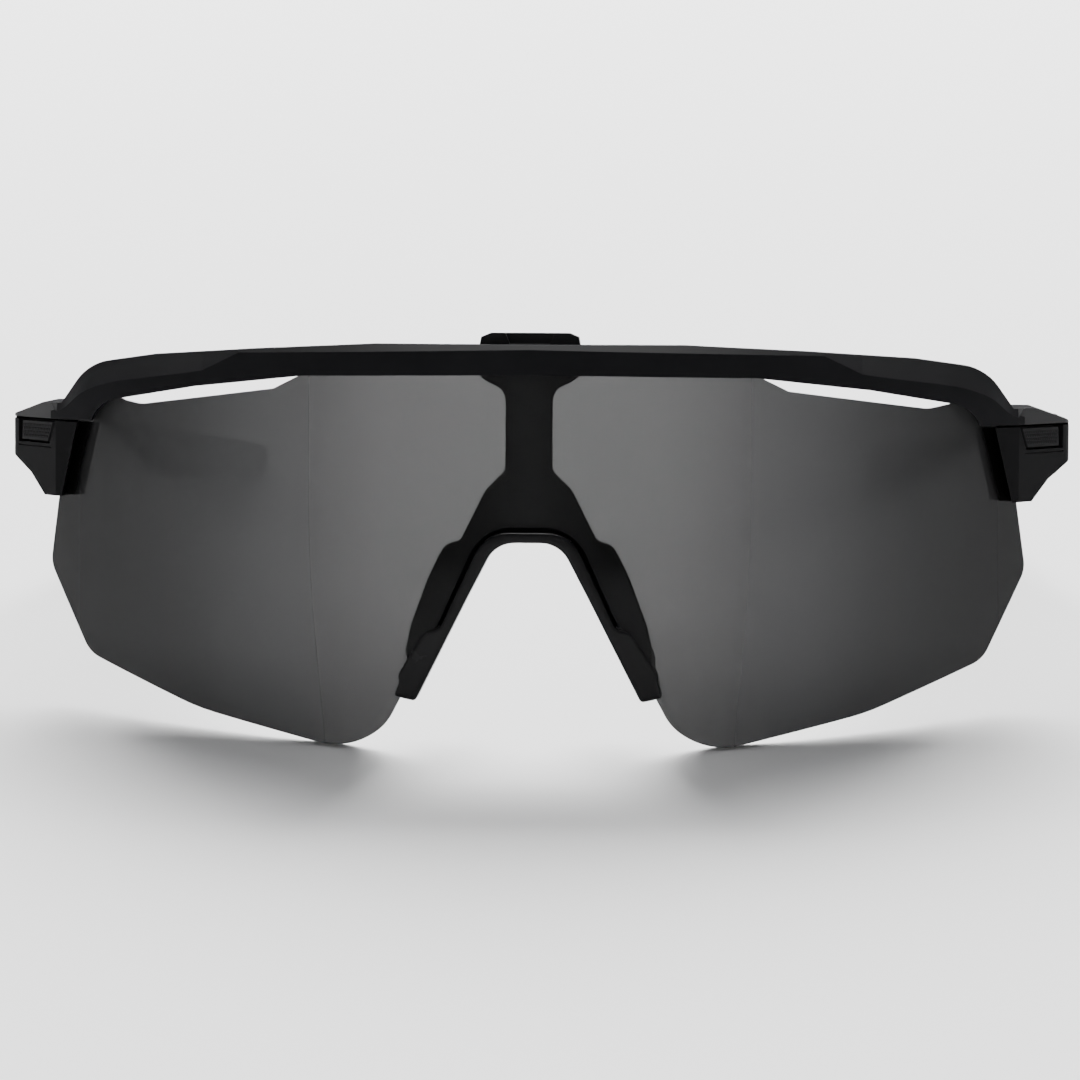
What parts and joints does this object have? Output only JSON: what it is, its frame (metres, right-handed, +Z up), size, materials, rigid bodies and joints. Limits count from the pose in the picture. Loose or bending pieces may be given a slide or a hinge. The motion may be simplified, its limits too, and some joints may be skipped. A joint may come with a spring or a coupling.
{
  "type": "wraparound sport sunglasses",
  "caption": "Wraparound sport sunglasses: a one-piece shield lens under a half-rim brow, folding rubber-tipped temples, a latched nose bridge with turning pads and push-button end covers.",
  "frame": {"origin": "centre of the bounding box at its base: the glasses stand on the two lower lens lobes and the two temple tips", "axes": "+Y from the lens back along the temples (depth, the longest side), +X to the wearer's left, +Z up. As worn, the glasses are turned about X so that the temples run level"},
  "size_m": [0.143, 0.151, 0.0539],
  "materials": {
    "brow": "satin moulded nylon",
    "lens": "smoke polycarbonate, polished",
    "nose": "fine moulded texture",
    "pad": "matte",
    "steel": "plain",
    "lever": "satin",
    "screw": "black oxide",
    "hinge": "black, satin",
    "cover": "satin",
    "gasket": "matte",
    "button": "fine raised texture",
    "arm": "satin",
    "grip": "matte, ribbed"
  },
  "bodies": {
    "front": {"brow_frame": "brow", "shield_lens": "lens", "nose_bridge": "nose", "nose_pad_pins": "steel", "latch_pin": "steel", "latch_spring": "steel", "end_cover_left": "cover", "end_cover_right": "cover", "lens_gasket_left": "gasket", "lens_gasket_right": "gasket", "button_spring_left": "steel", "button_spring_right": "steel", "hinge_bracket_left": "hinge", "hinge_bracket_right": "hinge", "bracket_screws": "screw", "hinge_screws": "screw"},
    "temple_left": {"temple_arm_left": "arm", "temple_core_left": "steel", "temple_grip_left": "grip", "temple_hinge_leaf_left": "hinge", "leaf_screws_left": "screw"},
    "temple_right": {"temple_arm_right": "arm", "temple_core_right": "steel", "temple_grip_right": "grip", "temple_hinge_leaf_right": "hinge", "leaf_screws_right": "screw"},
    "latch": {"latch_lever": "lever"},
    "button_left": {"release_button_left": "button"},
    "button_right": {"release_button_right": "button"},
    "pad_left": {"nose_pad_left": "pad"},
    "pad_right": {"nose_pad_right": "pad"}
  },
  "joints": [
    {"name": "temple_fold_left", "type": "hinge", "parent": "front", "child": "temple_left", "pos_m": [0.0646, -0.02599, 0.02922], "axis": [0, 0.2022, 0.9793], "range_deg": [0, 75]},
    {"name": "temple_fold_right", "type": "hinge", "parent": "front", "child": "temple_right", "pos_m": [-0.0646, -0.02599, 0.02922], "axis": [0, -0.2022, -0.9793], "range_deg": [0, 87]},
    {"name": "latch_open", "type": "hinge", "parent": "front", "child": "latch", "pos_m": [0, -0.06364, 0.04864], "axis": [-1, 0, 0], "range_deg": [0, 22], "stiffness_Nm_per_rad": 0.05, "springref_deg": -5.73, "deforming": ["latch_spring"]},
    {"name": "button_press_left", "type": "slide", "parent": "front", "child": "button_left", "axis": [-0.8754, 0.4734, -0.0978], "range_m": [0, 0.0005], "stiffness_N_per_m": 600, "springref_m": -0.0003, "deforming": ["button_spring_left"]},
    {"name": "button_press_right", "type": "slide", "parent": "front", "child": "button_right", "axis": [0.8754, 0.4734, -0.0978], "range_m": [0, 0.0005], "stiffness_N_per_m": 600, "springref_m": -0.0003, "deforming": ["button_spring_right"]},
    {"name": "pad_turn_left", "type": "hinge", "parent": "front", "child": "pad_left", "pos_m": [0.0081, -0.06792, 0.02379], "axis": [0.4444, -0.003, -0.8958], "range_deg": [-8, 8]},
    {"name": "pad_turn_right", "type": "hinge", "parent": "front", "child": "pad_right", "pos_m": [-0.0081, -0.06792, 0.02379], "axis": [-0.4444, -0.003, -0.8958], "range_deg": [-8, 8]}
  ]
}
